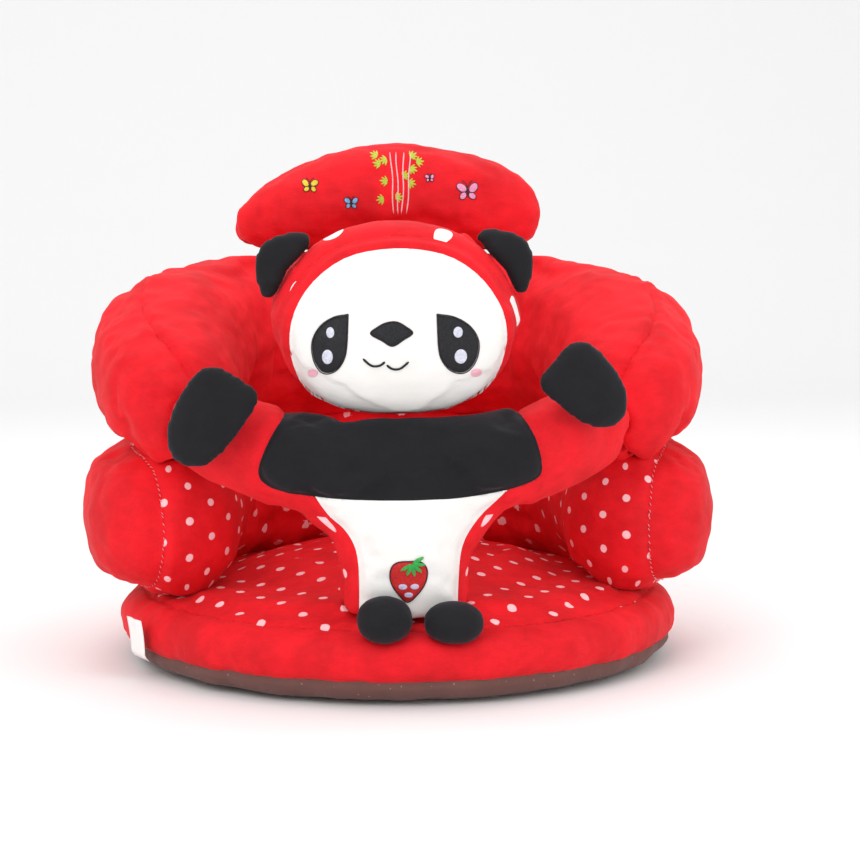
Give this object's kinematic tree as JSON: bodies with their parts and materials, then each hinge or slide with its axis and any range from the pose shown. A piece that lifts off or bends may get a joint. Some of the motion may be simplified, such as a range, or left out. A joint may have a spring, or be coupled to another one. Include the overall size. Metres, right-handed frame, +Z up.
{
  "type": "plush panda support seat",
  "caption": "Round plush floor seat for a baby, with stacked U-shaped bolsters, a half-moon headrest and a stuffed panda whose arms close the front.",
  "frame": {"origin": "centre of the bounding box at floor level, under the middle of the round cushion", "axes": "+Z up, -Y towards the panda's face at the front, +X to the right as seen from the front"},
  "size_m": [0.4336, 0.4, 0.3701],
  "materials": {
    "red_plush": "short soft pile",
    "dotted_plush": "short soft pile with pale pink dots",
    "black_plush": "short soft pile",
    "white_plush": "short soft pile",
    "underside_cloth": "coarse woven cloth with small grip dots",
    "fibre_filling": "loose polyester fibre",
    "black_embroidery": "satin stitch",
    "highlight_embroidery": "satin stitch",
    "cheek_embroidery": "satin stitch",
    "green_embroidery": "satin stitch",
    "yellow_embroidery": "satin stitch",
    "blue_embroidery": "satin stitch",
    "pink_embroidery": "satin stitch",
    "strawberry_embroidery": "satin stitch",
    "zip_tape": "woven tape with a nylon coil",
    "zip_slider": "satin paint",
    "label_satin": "printed satin, left blank"
  },
  "bodies": {
    "seat": {"base_bottom_cover": "underside_cloth", "base_side_band": "red_plush", "seat_panel": "dotted_plush", "base_filling": "fibre_filling", "zipper_tape_front": "zip_tape", "zipper_tape_rear": "zip_tape", "lower_bolster_inner_panel": "dotted_plush", "lower_bolster_outer_panel": "red_plush", "lower_bolster_filling": "fibre_filling", "upper_bolster_inner_panel": "red_plush", "upper_bolster_outer_panel": "red_plush", "upper_bolster_filling": "fibre_filling", "chest_panel": "black_plush", "belly_panel": "white_plush", "body_back_panel": "dotted_plush", "sleeve_left": "red_plush", "sleeve_right": "red_plush", "post_gusset_left": "dotted_plush", "post_gusset_right": "dotted_plush", "body_filling": "fibre_filling", "strawberry_patch": "strawberry_embroidery", "strawberry_leaf": "green_embroidery"},
    "headrest": {"headrest_front_panel": "red_plush", "headrest_back_panel": "red_plush", "headrest_filling": "fibre_filling", "bamboo_embroidery": "green_embroidery", "butterfly_yellow": "yellow_embroidery", "butterfly_blue": "blue_embroidery", "butterfly_pink": "pink_embroidery", "butterfly_small": "pink_embroidery"},
    "head": {"face_panel": "white_plush", "hood_brim": "red_plush", "hood_front": "red_plush", "hood_back": "red_plush", "head_filling": "fibre_filling", "eye_left": "black_embroidery", "eye_right": "black_embroidery", "eye_highlight_upper_left": "highlight_embroidery", "eye_highlight_upper_right": "highlight_embroidery", "eye_highlight_lower_left": "highlight_embroidery", "eye_highlight_lower_right": "highlight_embroidery", "nose": "black_embroidery", "mouth_left": "black_embroidery", "mouth_right": "black_embroidery", "cheek_left": "cheek_embroidery", "cheek_right": "cheek_embroidery"},
    "ear_left": {"ear_left_cover": "black_plush", "ear_left_filling": "fibre_filling"},
    "ear_right": {"ear_right_cover": "black_plush", "ear_right_filling": "fibre_filling"},
    "paw_left": {"paw_left_cover": "black_plush", "paw_left_filling": "fibre_filling"},
    "paw_right": {"paw_right_cover": "black_plush", "paw_right_filling": "fibre_filling"},
    "foot_left": {"foot_left_cover": "black_plush", "foot_left_filling": "fibre_filling"},
    "foot_right": {"foot_right_cover": "black_plush", "foot_right_filling": "fibre_filling"},
    "zipper_slider": {"zipper_slider": "zip_slider"},
    "care_label": {"care_label": "label_satin"}
  },
  "joints": [
    {"name": "headrest_fold", "type": "hinge", "parent": "seat", "child": "headrest", "pos_m": [0, 0.146, 0.2845], "axis": [1, 0, 0], "range_deg": [-8, 12], "stiffness_Nm_per_rad": 1.5},
    {"name": "head_nod", "type": "hinge", "parent": "seat", "child": "head", "pos_m": [-0.011, -0.138, 0.1805], "axis": [1, 0, 0], "range_deg": [-12, 6], "stiffness_Nm_per_rad": 1.5},
    {"name": "ear_left_fold", "type": "hinge", "parent": "head", "child": "ear_left", "pos_m": [-0.066, -0.142, 0.265], "axis": [0.5817, 0, 0.8134], "range_deg": [-12, 12], "stiffness_Nm_per_rad": 0.05},
    {"name": "ear_right_fold", "type": "hinge", "parent": "head", "child": "ear_right", "pos_m": [0.042, -0.142, 0.267], "axis": [0.5817, 0, -0.8134], "range_deg": [-12, 12], "stiffness_Nm_per_rad": 0.05},
    {"name": "paw_left_lift", "type": "hinge", "parent": "seat", "child": "paw_left", "pos_m": [-0.109, -0.168, 0.188], "axis": [0, 0, 1], "range_deg": [0, 40], "stiffness_Nm_per_rad": 0.1},
    {"name": "paw_right_lift", "type": "hinge", "parent": "seat", "child": "paw_right", "pos_m": [0.08, -0.165, 0.2], "axis": [0, 0, -1], "range_deg": [0, 40], "stiffness_Nm_per_rad": 0.1},
    {"name": "foot_left_lift", "type": "hinge", "parent": "seat", "child": "foot_left", "pos_m": [-0.021, -0.171, 0.07], "axis": [-1, 0, 0], "range_deg": [0, 20], "stiffness_Nm_per_rad": 0.2},
    {"name": "foot_right_lift", "type": "hinge", "parent": "seat", "child": "foot_right", "pos_m": [0.021, -0.171, 0.07], "axis": [-1, 0, 0], "range_deg": [0, 20], "stiffness_Nm_per_rad": 0.2},
    {"name": "zip_slide", "type": "slide", "parent": "seat", "child": "zipper_slider", "axis": [1, 0, 0], "range_m": [0, 0.17]},
    {"name": "care_label_flap", "type": "hinge", "parent": "seat", "child": "care_label", "pos_m": [-0.17998, -0.08941, 0.017], "axis": [0.454, -0.891, 0], "range_deg": [0, 70], "stiffness_Nm_per_rad": 0.002}
  ]
}
